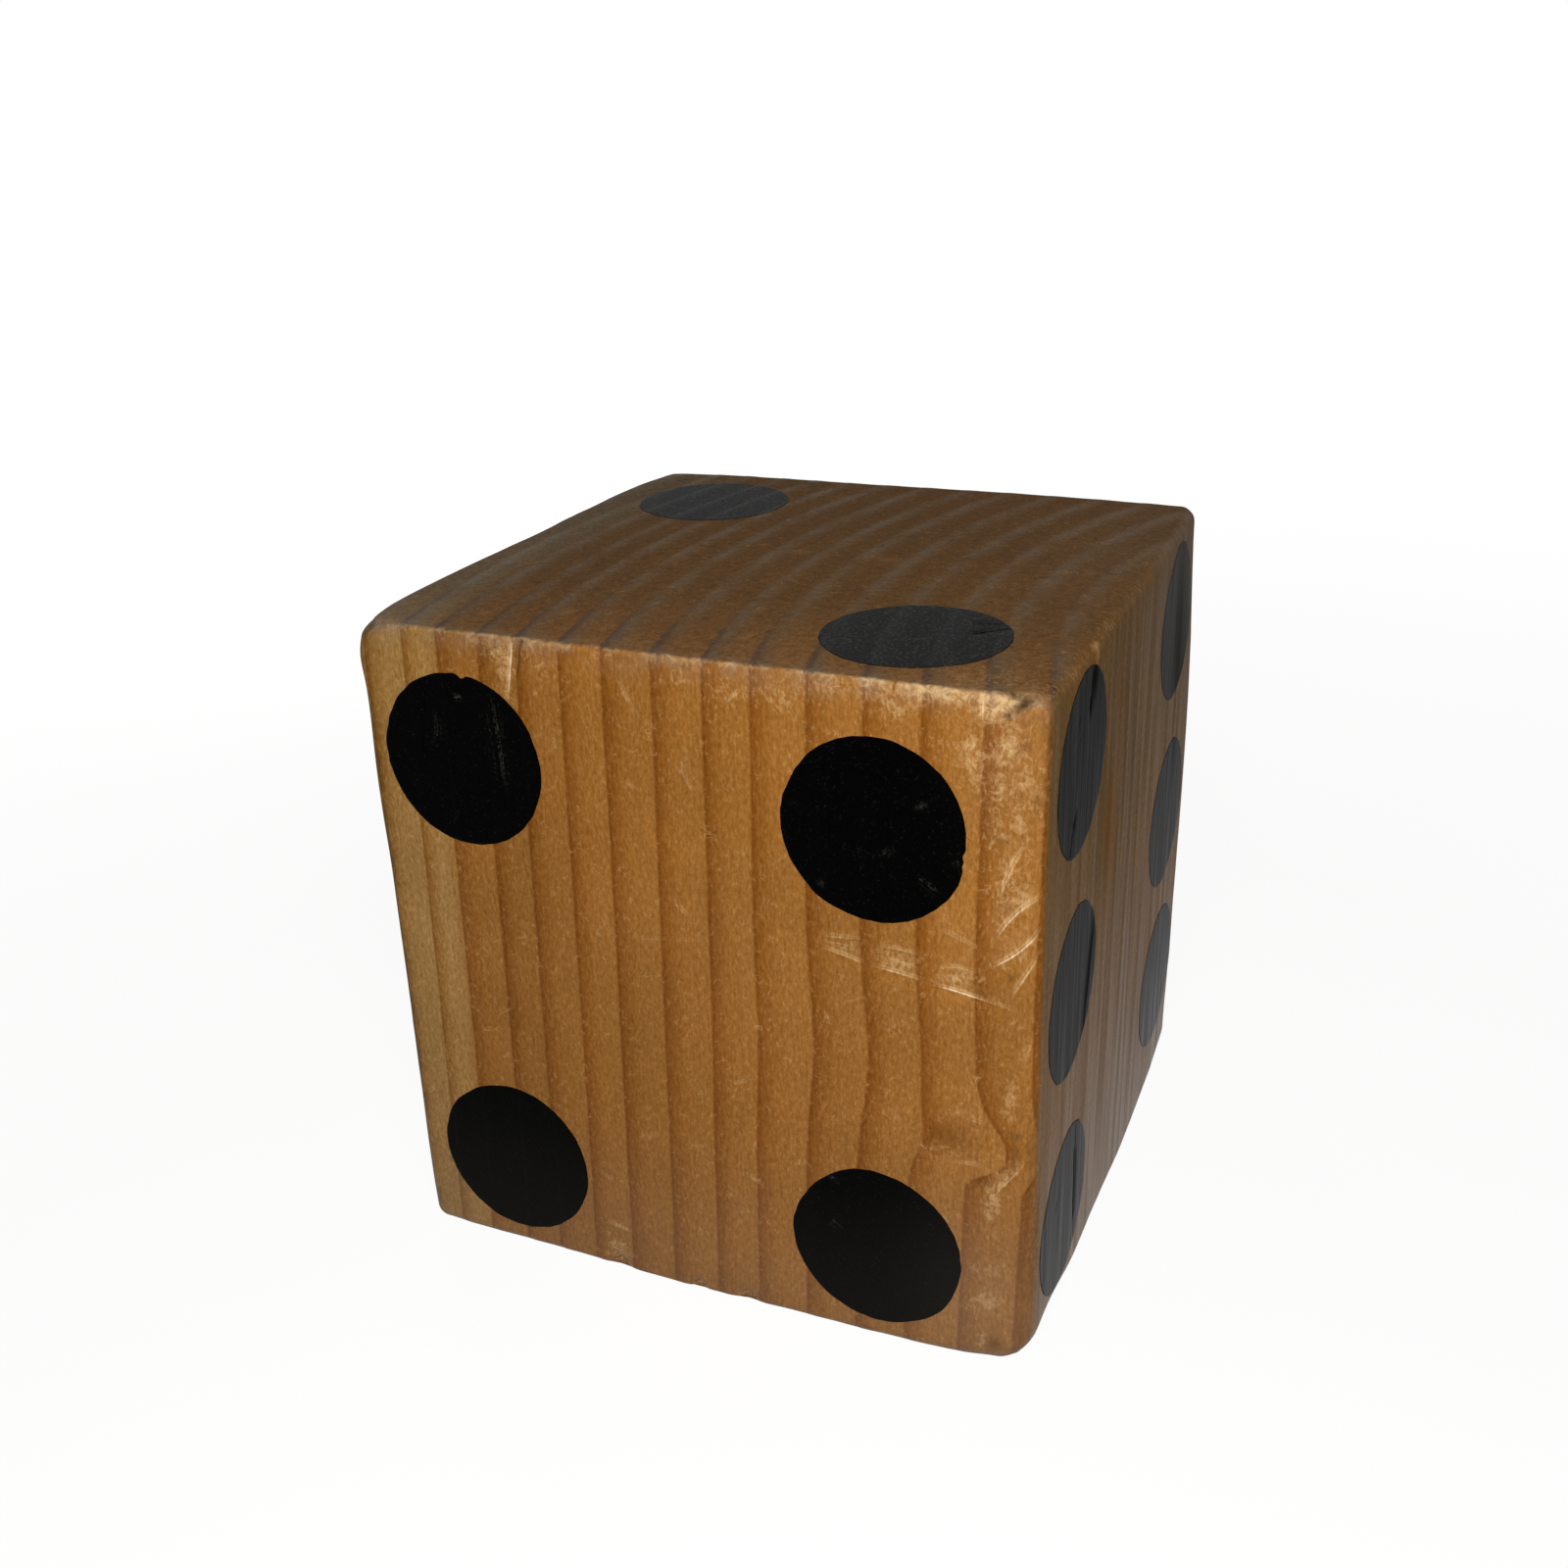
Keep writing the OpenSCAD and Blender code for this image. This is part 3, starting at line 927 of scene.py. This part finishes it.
@dataclass
class Pip:
    """One painted pip: a film with an uneven rim that follows the wood below it."""

    spot: Spot
    block: Block
    marks: list[Mark]
    seed: int
    notches: tuple[Triple, ...] = ()  # each: direction, half width (degrees), depth (mm)
    tall: float = 0.0  # how much taller than wide it is, as a share
    coat: float = 0.035  # the film's top above the wood
    lift: float = 0.01  # the film's thin rim above the wood
    keel: float = 0.16  # how far the middle of the film reaches down into its seat
    rows: int = 46
    columns: int = 200

    def rim(self, angles: Array) -> Array:
        """Radius of the painted edge by direction.

        A circle, drawn out upwards by a cosine of two turns, gets waves of 3 to 40 turns whose height
        falls with their number, and each notch takes a bell curve out of it.

        Args:
            angles: directions in radians, anticlockwise from the face's right.

        Returns:
            Radii in millimetres.
        """
        rng = np.random.default_rng(self.seed)
        turns = np.arange(3, 41)
        heights = rng.normal(0, 0.1, len(turns)) / turns ** 0.9
        starts = rng.uniform(0, 2 * np.pi, len(turns))
        radius = self.spot.radius * (1 - self.tall / 2 * np.cos(2 * angles))
        radius += np.cos(angles[:, None] * turns + starts) @ heights
        for direction, half, depth in self.notches:
            turn = (np.degrees(angles) - direction + 180) % 360 - 180
            radius -= depth * np.exp(-(turn / half) ** 2)
        return radius

    def build(self, material: Material) -> None:
        """Make the film as a closed profile carried round its middle.

        The profile runs out along the top to the rim and back along the underside, where it dips into
        the seat once it is clear of the rim. A mark bites deep only where the film is that thick.

        Args:
            material: the paint.
        """
        angles = np.linspace(0, 2 * np.pi, self.columns, endpoint=False)
        upper = np.linspace(0, 1, self.rows + 1)[1:] ** 0.8
        shares = np.concatenate([upper, [0.985, 0.8, 0.74, 0.35]])
        below = [self.lift, self.lift, -self.keel, -self.keel]
        levels = np.concatenate([np.full(self.rows, self.coat), below])
        room = np.zeros(len(shares))
        room[:self.rows] = self.coat - self.lift - 0.005 + self.keel * (1 - ease(0.62, 0.72, upper))
        reach = shares[:, None] * self.rim(angles)
        across = np.concatenate([[0], (reach * np.cos(angles)).ravel(), [0]]) + self.spot.across
        up = np.concatenate([[0], (reach * np.sin(angles)).ravel(), [0]]) + self.spot.up
        level = np.concatenate([[self.coat], np.repeat(levels, self.columns), [-self.keel]])
        room = np.concatenate([[self.keel], np.repeat(room, self.columns), [0]])

        right, upward, outward = self.spot.face.axes
        flat = float(np.abs(outward) @ self.block.half) * outward
        skin = self.block.lay(across[:, None] * right + up[:, None] * upward + flat)
        # The block's grey haze, dust and painted sheen, carries onto the paint
        dust = skin.masks[Kind.DUST_AND_SHEEN.value] * 0.6
        skin.masks.update({kind.value: np.zeros(len(across)) for kind in Kind})
        skin.masks[Kind.DUST_AND_SHEEN.value] = dust
        skin.masks["comb"][:] = 5.0
        bite = np.zeros(len(across))
        for mark in self.marks:
            felt, above = mark.strength(across, up)
            bite += mark.depth * felt
            skin.masks[mark.kind.value] += mark.amount * felt
            if mark.kind in COMBED:
                skin.masks["comb"] = np.where(felt > 0.02, above, skin.masks["comb"])
        points = skin.points + (level - np.minimum(bite, room))[:, None] * skin.normals

        rows = len(shares)
        number = np.arange(rows * self.columns).reshape(rows, self.columns) + 1
        beside = np.roll(number, -1, axis=1)
        walls = np.stack([number[:-1], number[1:], beside[1:], beside[:-1]], axis=-1).reshape(-1, 4)
        first = np.stack([np.zeros(self.columns, int), number[0], beside[0], beside[0]], axis=1)
        last = np.full(self.columns, rows * self.columns + 1)
        last = np.stack([number[-1], last, beside[-1], beside[-1]], axis=1)
        quads = np.concatenate([first, walls, last])
        make_piece(self.spot.name, points, quads, skin.masks, material)


def marks_of(face: Face, *groups: tuple) -> list[Mark]:
    """Make marks on one face.

    Args:
        face: the face.
        groups: a kind, and then for each mark its place across and up, its half length, width, turn and
            amount and, where they are not 0, its depth and bow.

    Returns:
        The marks.
    """
    return [Mark(kind, face, *row) for kind, *rows in groups for row in rows]


@dataclass(frozen=True)
class Wear:
    """The knocks that the photo shows, placed one by one, and smaller ones scattered over every face."""

    seed: int = 7
    scattered: int = 46  # small knocks on each face
    rubs: int = 40  # in the rubbed strip
    front_tall: float = 0.025  # how much taller than wide the pips of the front were painted, as a share

    @staticmethod
    def on_front() -> list[Mark]:
        """The marks on the front."""
        scrape, scuff, stain, crack = Kind.SCRAPE, Kind.SCUFF_AND_HIGHLIGHT, Kind.STAIN_AND_SHADE, Kind.CRACK
        return marks_of(
            Face.FRONT,
            # A splinter at the top edge, with the split beside it
            (scrape, (-21.2, 40.6, 3.9, 1.0, 80, 0.95, 0.05)),
            (crack, (-20.1, 41.3, 2.8, 0.3, 78, 0.5, 0.1)),
            (scuff, (-23.3, 42.4, 1.7, 1.2, 0, 0.3), (-22.1, 41.0, 3.0, 0.8, 81, 0.35)),
            (stain, (-19.7, 44.1, 0.5, 0.5, 0, 0.4, 0.4)),
            # Crushed fibres under the top edge
            (scuff, (-17.0, 41.6, 1.5, 1.6, 0, 0.25), (1.3, 41.7, 2.0, 1.4, 0, 0.2),
             (7.1, 41.2, 2.2, 1.6, 0, 0.2), (13.2, 41.2, 2.6, 2.2, 0, 0.25),
             (19.3, 42.7, 2.6, 1.0, 0, 0.25), (26.3, 41.9, 2.6, 1.8, 0, 0.33),
             (32.8, 43.2, 2.8, 0.9, 0, 0.42)),
            (scrape, (-6.6, 39.4, 2.8, 0.5, -66, 0.45), (7.2, 40.2, 1.0, 0.4, 39, 0.5),
             (29.3, 43.2, 0.9, 0.3, 88, 0.9), (30.7, 43.2, 1.0, 0.3, 88, 0.9),
             (36.0, 42.8, 1.7, 0.35, 89, 0.8)),
            # The chipped top right corner and the rubbed strip below it
            (scuff, (37.7, 42.7, 1.9, 1.3, 30, 0.9, 0.25)),
            # Dark stains at the chip; the thin one along the top edge is a shallow dent with a painted
            # shadow
            (stain, (40.2, 43.7, 0.8, 0.65, 47, 0.9, 0.35), (39.4, 42.9, 0.7, 0.55, 47, 0.6, 0.35),
             (38.5, 42.0, 0.4, 0.4, 30, 0.9, 0.2), (40.0, 44.5, 1.6, 0.4, 0, 0.6, 0.1)),
            (scuff, (40.2, 33.0, 7.0, 2.4, 90, 0.03, 0.06), (38.4, 34.0, 9.5, 4.0, 90, 0.14),
             (38.9, 38.8, 1.6, 1.2, 80, 0.32), (34.9, 38.8, 0.6, 0.5, 0, 0.5),
             (34.7, 36.8, 2.2, 1.1, 90, 0.4), (37.6, 34.3, 1.9, 0.6, 90, 0.36),
             (41.1, 34.4, 0.6, 0.5, 40, 0.35), (38.2, 28.2, 0.8, 0.6, 10, 0.4),
             (39.2, 23.9, 3.2, 0.9, 75, 0.22), (39.5, 19.6, 3.9, 0.8, 53, 0.22, 0.0, -0.15)),
            (scrape, (39.2, 23.6, 3.9, 1.6, 69, 0.68, 0.06, -0.05),
             (39.8, 18.7, 4.2, 1.8, 52, 0.8, 0.06, -0.13), (40.2, 14.2, 3.9, 1.4, 44, 0.95, 0.12, 0.12)),
            (scuff, (39.9, 13.4, 3.0, 0.6, 42, 0.3, 0.0, 0.12)),
            (scrape, (41.5, 11.9, 2.7, 0.6, 63, 0.75), (42.0, 2.2, 1.5, 0.4, 76, 0.4)),
            (stain, (39.7, 11.3, 0.3, 0.3, 0, 0.8)),
            # Slanted dents across three rings
            (scrape, (19.8, 10.2, 2.4, 1.5, -12, 0.65, 0.12)),
            (scuff, (19.8, 11.4, 2.0, 1.0, 0, 0.22)),
            (scrape, (19.6, 12.5, 2.3, 0.4, 5, 0.5), (26.1, 9.2, 2.8, 2.0, -7, 0.75, 0.14)),
            (scuff, (26.4, 10.9, 2.2, 1.2, 0, 0.32)),
            (scrape, (26.2, 12.3, 2.5, 0.4, -1, 0.5, 0.0, -0.1), (34.8, 7.9, 4.2, 1.4, -8, 1.0, 0.24)),
            (scuff, (33.7, 10.2, 2.2, 1.6, 0, 0.4, 0.05)),
            (scrape, (33.6, 11.3, 2.0, 0.5, 2, 0.55, 0.0, -0.15), (33.5, 15.0, 2.2, 1.0, -20, 0.4)),
            # Ticks, curls and rubs on the open wood
            (scrape, (-1.2, 12.7, 1.6, 0.5, -54, 0.45, 0.0, 0.3), (-13.7, 28.6, 1.0, 0.4, -44, 0.45),
             (-3.0, 7.9, 5.4, 0.4, 8, 0.2), (-6.4, 27.6, 0.7, 0.4, -41, 0.4)),
            (stain, (-13.1, 4.7, 0.3, 0.3, 0, 0.7)),
            (scuff, (17.6, 0.8, 2.2, 1.1, 80, 0.22), (26.5, 1.7, 1.6, 1.2, 20, 0.2)),
            # Torn and darker wood round the knot
            (scrape, (33.0, -14.9, 3.5, 1.8, 2, 0.45, 0.06)),
            (scuff, (32.0, -13.7, 2.6, 0.9, 4, 0.32, 0.05)),
            (stain, (41.0, -12.0, 1.8, 0.6, 72, 0.3), (33.2, -11.1, 3.0, 1.9, 12, 0.25),
             (40.9, -9.3, 0.8, 0.5, 20, 0.45), (37.1, -16.7, 0.8, 0.6, 0, 0.4)),
            (scuff, (38.2, -12.6, 2.2, 1.5, 90, 0.12), (38.2, -19.6, 2.6, 0.9, 88, 0.55)),
            (scrape, (40.3, -15.6, 2.8, 1.4, 56, 0.75)),
            (scuff, (39.8, -15.0, 2.4, 0.7, 56, 0.3), (40.0, -4.7, 2.3, 0.8, 80, 0.42),
             (34.5, -7.3, 2.0, 0.9, 8, 0.35)),
            (scrape, (36.0, -8.6, 0.7, 0.3, -10, 0.5)),
            (scuff, (36.0, -2.5, 3.4, 0.5, 90, 0.28)),
            # The bruise above the base edge, bites out of that edge, and the rubbed lower right
            (scrape, (-13.0, -37.5, 1.6, 0.7, -9, 0.75)),
            (scuff, (-13.6, -41.0, 1.5, 2.0, 0, 0.55, 0.08)),
            (stain, (-13.3, -43.8, 1.0, 1.2, 0, 0.0, 1.3), (-1.6, -43.9, 0.8, 1.0, 0, 0.0, 1.0),
             (5.4, -43.8, 0.9, 1.2, 0, 0.0, 1.4)),
            (scrape, (8.0, -24.8, 1.9, 0.7, -30, 0.45)),
            (scuff, (13.8, -20.2, 1.2, 0.5, -15, 0.3), (38.4, -29.3, 1.8, 0.7, 21, 0.45),
             (37.7, -34.2, 2.4, 1.4, 45, 0.5, 0.06), (37.3, -40.0, 0.6, 1.5, 0, 0.4)),
            (stain, (38.9, -40.4, 1.2, 1.0, 10, 0.45)),
        )

    @staticmethod
    def on_other_sides() -> list[Mark]:
        """The marks on the top and the right side, and grey haze on the front, which is dust and a painted
        sheen.
        """
        ticks = ((0.3, -25.5), (9.3, -20.0), (1.3, -1.5), (13.3, -5.5), (-4.3, -21.5))
        right = marks_of(
            Face.RIGHT,
            (Kind.CRACK, *((across, up, 1.2, 0.3, 88, 0.55) for across, up in ticks)),
            # Grey at the top back of the right side and down its back edge: a painted sheen, with dust
            (Kind.DUST_AND_SHEEN, (24.0, 34.0, 26.0, 14.0, 0, 0.22), (28.0, 40.0, 16.0, 8.0, 0, 0.3),
             (40.0, 16.0, 34.0, 7.0, 90, 0.2)),
            (Kind.SCUFF_AND_HIGHLIGHT, (-22.0, 43.8, 14.0, 0.8, 0, 0.18), (-21.4, 42.8, 2.6, 0.7, 88, 0.5)),
            (Kind.AMBER, (-27.0, 42.0, 8.0, 1.6, 0, 0.35), (7.0, 43.6, 1.5, 1.1, 0, 0.8),
             (-7.2, 32.5, 1.5, 1.2, 0, 0.5), (-9.8, 16.0, 8.5, 1.7, 90, 0.45),
             (-6.4, 13.0, 6.5, 1.1, 90, 0.35), (-13.0, 18.0, 5.5, 1.1, 90, 0.35),
             (-21.9, 42.8, 3.0, 1.2, 88, 0.7)),
            (Kind.STAIN_AND_SHADE, (1.3, 0.0, 40.0, 0.6, 90, 0.12), (13.3, 0.0, 40.0, 0.6, 90, 0.12)),
        )
        top = marks_of(
            Face.TOP,
            # Grey along the top's left and right edges and at its front left corner: dust, and partly a
            # painted sheen
            (Kind.DUST_AND_SHEEN, (-39.0, 0.0, 38.0, 6.0, 90, 0.2), (38.0, 18.0, 26.0, 8.0, 90, 0.08),
             (-40.0, -39.0, 6.0, 5.0, 0, 0.14)),
            (Kind.SCUFF_AND_HIGHLIGHT, (36.0, -38.0, 7.0, 4.0, 0, 0.27), (41.6, 9.0, 1.4, 1.0, 60, 0.3),
             (33.8, 3.6, 1.6, 0.7, 20, 0.5)),
            (Kind.CRACK, (30.8, 0.0, 1.7, 0.3, 12, 0.5, 0.05, -0.3),
             (31.1, -9.0, 1.7, 0.3, 8, 0.5, 0.05, -0.3), (-23.6, -30.3, 2.2, 0.3, -55, 0.5, 0.05, 0.3)),
            (Kind.SCRAPE, (-19.5, -31.5, 1.0, 0.6, 10, 0.5), (-12.0, -35.0, 0.9, 0.6, -20, 0.4)),
        )
        # Grey at the front's lower and upper right: dust, and partly a painted sheen
        grey_dust_and_sheen = (Kind.DUST_AND_SHEEN, (36.0, -32.0, 14.0, 9.0, 90, 0.12), (39.0, 36.0, 9.0, 4.5, 90, 0.06))
        return right + top + marks_of(Face.FRONT, grey_dust_and_sheen)

    def small(self, face: Face, half: Array, placed: list[Mark]) -> list[Mark]:
        """Small knocks at random places on a face, clear of those that are listed.

        Args:
            face: the face.
            half: half of the block's sizes.
            placed: marks to keep clear of.

        Returns:
            The marks, the same every time.
        """
        rng = np.random.default_rng([self.seed, list(Face).index(face)])
        across, up = np.abs(face.axes[:2]) @ half
        places = rng.uniform(-0.95, 0.95, (self.scattered, 2)) * (across, up)
        sizes = rng.uniform(0.4, 1.0, (self.scattered, 2)) * (1.7, 0.5)
        turns = rng.uniform(-70, 70, self.scattered)
        hits = rng.uniform(0.1, 0.45, self.scattered)
        taken = [mark for mark in placed if mark.face is face and mark.kind in COMBED]
        return [
            Mark(Kind.SCRAPE, face, *place, *size, turn, hit, 0.1 * hit, bow=0.4 * hit)
            for place, size, turn, hit in zip(places, sizes, turns, hits)
            if all(math.dist(place, (mark.across, mark.up)) > mark.length + 2 for mark in taken)
        ]

    def rubbed_strip(self) -> list[Mark]:
        """Mottled rubs on the front, between its last ring line and its right edge, the same every time."""
        rng = np.random.default_rng(self.seed)
        places = rng.uniform((37.0, 17.0), (42.6, 41.5), (self.rubs, 2))
        sizes = rng.uniform((0.5, 0.3), (1.8, 0.8), (self.rubs, 2))
        turns = rng.uniform(-80, 80, self.rubs)
        amounts = rng.uniform(0.05, 0.22, self.rubs)
        kinds = [Kind.STAIN_AND_SHADE if i % 3 == 0 else Kind.SCUFF_AND_HIGHLIGHT for i in range(self.rubs)]
        return [
            Mark(kind, Face.FRONT, *place, *size, turn, amount, 0.08 * amount, bow=amount)
            for kind, place, size, turn, amount in zip(kinds, places, sizes, turns, amounts)
        ]

    @staticmethod
    def on_pips() -> list[Mark]:
        """Scuffs, splits and dents in the paint that the photo shows."""
        return marks_of(
            Face.FRONT,
            (Kind.SCUFF_AND_HIGHLIGHT, (-29.1, 36.1, 0.35, 0.3, 0, 1.0), (29.4, 30.6, 1.0, 0.35, 35, 0.2),
             (25.2, 24.2, 0.8, 0.4, 20, 0.15), (33.3, 24.4, 0.7, 0.4, 30, 0.15),
             (17.3, 19.2, 0.6, 0.35, 20, 0.2), (18.1, -21.2, 0.6, 0.25, -25, 0.5)),
            (Kind.SCRAPE, (-23.6, 31.0, 5.0, 1.2, 93, 0.32), (-32.4, 31.4, 2.2, 0.5, 80, 0.22, 0.0, 0.3),
             (30.0, 21.0, 1.3, 0.3, -32, 0.3), (18.3, -28.1, 0.8, 0.3, -46, 0.4)),
            (Kind.STAIN_AND_SHADE, (17.9, -21.9, 0.7, 0.5, 20, 0.0, 0.16)),
        ) + marks_of(
            Face.TOP,
            (Kind.CRACK, (31.2, -22.3, 2.4, 0.3, 40, 0.9, 0.15), (30.0, -20.0, 1.6, 0.3, 20, 0.7, 0.1)),
        ) + marks_of(
            Face.RIGHT,
            (Kind.CRACK, (-23.5, 38.7, 2.6, 0.4, 75, 1.0, 0.16), (-30.0, 23.8, 2.6, 0.4, 64, 1.0, 0.16),
             (-18.3, 0.0, 7.5, 0.4, 77, 1.0, 0.16), (-21.2, -28.6, 8.0, 0.4, 94, 1.0, 0.16)),
            (Kind.STAIN_AND_SHADE, (-22.6, 40.2, 2.4, 1.5, 80, 1.0), (30.0, 27.0, 13.0, 4.0, 92, 0.6),
             (-18.9, 0.0, 8.0, 1.0, 77, 0.8), (-35.4, -22.7, 1.0, 0.5, 80, 0.8, 0.1)),
        )

    @staticmethod
    def notches() -> dict[str, tuple[Triple, ...]]:
        """Bites out of the painted rims, by pip."""
        return {
            "pip_four_upper_left": ((84.0, 2.5, 0.5),),
            "pip_four_upper_right": ((-8.0, 3.0, 0.35), (-14.0, 2.5, 0.3)),
        }


@dataclass(frozen=True)
class Studio:
    """A pale floor in a white surround, a soft lamp in front, a low fill behind, and the photo's camera."""

    eye: Triple = (82.44, -197.47, 149.51)
    heading: float = 23.97  # degrees to the left of +Y
    tilt: float = 23.52  # degrees below level
    roll: float = -1.86  # degrees, anticlockwise
    lens: float = 38.385
    sensor: float = 36.0
    key_place: Triple = (96.0, -231.0, 160.0)
    key_size: float = 150.0
    key_watts: float = 0.65
    fill_place: Triple = (-300.0, 300.0, 45.0)
    fill_size: float = 160.0
    fill_watts: float = 0.8
    aim: Triple = (0.0, 0.0, 45.0)  # of both lamps
    ambient: float = 0.05
    floor_half: float = 4000.0
    floor_card: str = "#5f5e5c"
    glow: Pair = (0.92, 1.0)  # of the floor, by the block and far from it
    glow_reach: Pair = (120.0, 450.0)  # where it is at the first and at the second

    def camera(self) -> None:
        """Place the camera where the photo was taken."""
        data = bpy.data.cameras.new("camera")
        data.lens, data.sensor_width = self.lens, self.sensor
        data.clip_start, data.clip_end = 0.01, 50
        camera = bpy.data.objects.new("camera", data)
        turn, tilt = math.radians(self.heading), math.radians(self.tilt)
        ahead = Vector((-math.sin(turn) * math.cos(tilt), math.cos(turn) * math.cos(tilt), -math.sin(tilt)))
        camera.location = Vector(self.eye) * MM
        camera.rotation_mode = "QUATERNION"
        camera.rotation_quaternion = ahead.to_track_quat("-Z", "Y") @ Quaternion(
            (0, 0, 1), math.radians(self.roll))
        bpy.context.scene.collection.objects.link(camera)
        bpy.context.scene.camera = camera

    def lamp(self, name: str, place: Triple, size: float, watts: float) -> None:
        """Hang a soft round lamp that is aimed at the block; the shine comes from the surround alone.

        Args:
            name: the lamp.
            place: its middle in millimetres.
            size: its diameter in millimetres.
            watts: its power.
        """
        data = bpy.data.lights.new(name, "AREA")
        data.shape, data.size, data.energy = "DISK", size * MM, watts
        lamp = bpy.data.objects.new(name, data)
        lamp.location = Vector(place) * MM
        aim = Vector(self.aim) * MM - lamp.location
        lamp.rotation_mode = "QUATERNION"
        lamp.rotation_quaternion = aim.to_track_quat("-Z", "Y")
        lamp.visible_camera = lamp.visible_glossy = False
        bpy.context.scene.collection.objects.link(lamp)

    @staticmethod
    def seen(net: Nodes) -> Socket:
        """Light path test: 1 for camera, glossy and transmission rays."""
        path = net.add("LightPath").outputs
        both = net.maths("MAXIMUM", path["Is Camera Ray"], path["Is Glossy Ray"])
        return net.maths("MAXIMUM", both, path["Is Transmission Ray"])

    def surround(self) -> None:
        """White to the eye, and a low even light on the block."""
        world = bpy.data.worlds.new("surround")
        world.use_nodes = True
        world.node_tree.nodes.clear()
        net = Nodes(world.node_tree)
        strength = net.between(self.seen(net), first=self.ambient)
        sky = net.add("Background", {"Color": (1, 1, 1, 1), "Strength": strength})
        net.add("OutputWorld", {0: sky.outputs[0]})
        bpy.context.scene.world = world

    def floor(self) -> None:
        """A level sheet that glows white to the eye, less so by the block, where it keeps the shadow."""
        half = self.floor_half * MM
        mesh = bpy.data.meshes.new("floor")
        mesh.from_pydata([(-half, -half, 0), (half, -half, 0), (half, half, 0), (-half, half, 0)], [],
                         [(0, 1, 2, 3)])
        material, net = new_material("matte_white_card")
        place = net.add("TexCoord").outputs["Object"]
        far = net.add("VectorMath", {0: place}, operation="LENGTH").outputs["Value"]
        glow = net.between(far, *(reach * MM for reach in self.glow_reach), *self.glow)
        light = net.add("Emission", {"Strength": net.product(glow, self.seen(net))})
        card = net.add("BsdfDiffuse", {"Color": linear(self.floor_card)})
        both = net.add("AddShader", {0: card.outputs[0], 1: light.outputs[0]})
        net.add("OutputMaterial", {0: both.outputs[0]})
        mesh.materials.append(material)
        floor = bpy.data.objects.new("floor", mesh)
        bpy.context.scene.collection.objects.link(floor)

    def build(self) -> None:
        """Set up the camera, the lamps, the surround and the floor."""
        bpy.context.scene.view_settings.view_transform = "Standard"
        self.camera()
        self.lamp("key", self.key_place, self.key_size, self.key_watts)
        self.lamp("fill", self.fill_place, self.fill_size, self.fill_watts)
        self.surround()
        self.floor()


def main() -> None:
    """Build the block, every pip and the studio."""
    logging.basicConfig(level=logging.INFO, format="%(name)s %(message)s")
    low, high = (np.array(corner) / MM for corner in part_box("block"))
    names = sorted(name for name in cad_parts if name.startswith("pip_"))
    spots = [find_spot(name, (low + high) / 2) for name in names]
    wear = Wear()
    marks = wear.on_front() + wear.rubbed_strip() + wear.on_other_sides()
    marks += [mark for face in Face for mark in wear.small(face, (high - low) / 2, marks)]
    block = Block(spots, GrowthRings(), marks, low, high)
    block.build(VarnishedSoftwood().material())

    paint = BlackPaint().material()
    notches = wear.notches()
    for seed, spot in enumerate(spots):
        own = [m for m in wear.on_pips() if m.face is spot.face]
        tall = wear.front_tall if spot.face is Face.FRONT else 0.0
        Pip(spot, block, own, seed, notches.get(spot.name, ()), tall).build(paint)
    Studio().build()


if __name__ == "__main__":
    main()
